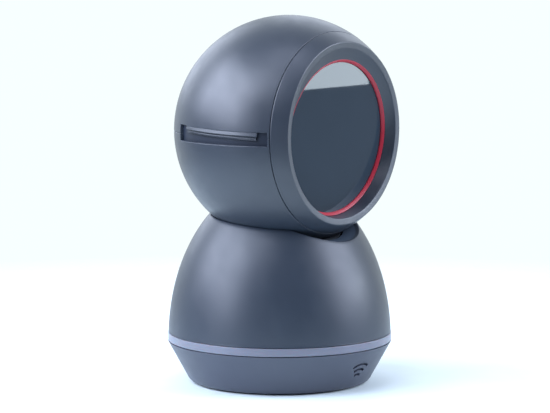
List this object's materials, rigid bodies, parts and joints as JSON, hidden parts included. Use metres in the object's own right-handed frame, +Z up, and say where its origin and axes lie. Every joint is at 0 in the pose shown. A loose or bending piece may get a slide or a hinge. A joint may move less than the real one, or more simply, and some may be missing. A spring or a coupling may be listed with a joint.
{
  "type": "barcode scanner",
  "caption": "Hands-free desktop barcode scanner: a ball head with a round recessed scan window tilts on a weighted domed base with a light ring.",
  "frame": {"origin": "centre of the base on the plane it stands on", "axes": "+Z up, the scan window faces -Y, +X is to the right for a person looking from behind the head"},
  "size_m": [0.0912, 0.09, 0.147],
  "materials": {
    "body": "fine matt slate grey moulded plastic",
    "ring": "satin translucent lavender grey light guide",
    "red": "satin red trim",
    "window": "polished dark tinted acrylic",
    "dark_trim": "dark satin plastic",
    "rubber": "matt black rubber",
    "steel": "plated steel",
    "zinc": "die-cast zinc",
    "board": "green solder mask over glass laminate",
    "led": "clear epoxy over a pale phosphor",
    "chip": "black moulding compound",
    "lens_glass": "coated optical glass"
  },
  "bodies": {
    "base": {"dome_shell": "body", "cup_liner": "body", "friction_seat": "rubber", "light_ring": "ring", "lower_housing": "body", "base_screw_1": "steel", "base_screw_2": "steel", "base_screw_3": "steel", "base_screw_4": "steel", "foot_ring": "rubber", "ballast_weight": "steel", "tilt_post": "zinc", "post_screw_1": "steel", "post_screw_2": "steel", "interface_board": "board", "board_spacer_1": "steel", "board_spacer_2": "steel", "board_spacer_3": "steel", "interface_chip": "chip", "cable_socket": "dark_trim", "buzzer": "chip", "light_board": "board", "ring_led_1": "led", "ring_led_2": "led", "ring_led_3": "led", "ring_led_4": "led"},
    "head": {"head_shell_upper": "body", "head_shell_lower": "body", "side_insert_left": "dark_trim", "side_insert_right": "dark_trim", "shell_screw_left": "steel", "shell_screw_right": "steel", "front_bezel": "body", "red_trim_ring": "red", "scan_window": "window", "window_gasket": "rubber", "window_retainer": "dark_trim", "retainer_screw_1": "steel", "retainer_screw_2": "steel", "retainer_screw_3": "steel", "retainer_screw_4": "steel", "illumination_board": "board", "illumination_led_1": "led", "illumination_led_2": "led", "illumination_led_3": "led", "illumination_led_4": "led", "decoder_board": "board", "imager_block": "chip", "lens_barrel": "dark_trim", "lens": "lens_glass", "board_standoff_left": "steel", "board_standoff_right": "steel", "shield_can": "steel", "tilt_yoke": "zinc", "yoke_screw_left": "steel", "yoke_screw_right": "steel", "hinge_axle": "steel", "axle_nut": "steel", "friction_washer_left": "rubber", "friction_washer_right": "rubber"}
  },
  "joints": [
    {"name": "head_tilt", "type": "hinge", "parent": "base", "child": "head", "pos_m": [0, -0.0047, 0.1013], "axis": [1, 0, 0], "range_deg": [-18, 12]}
  ]
}
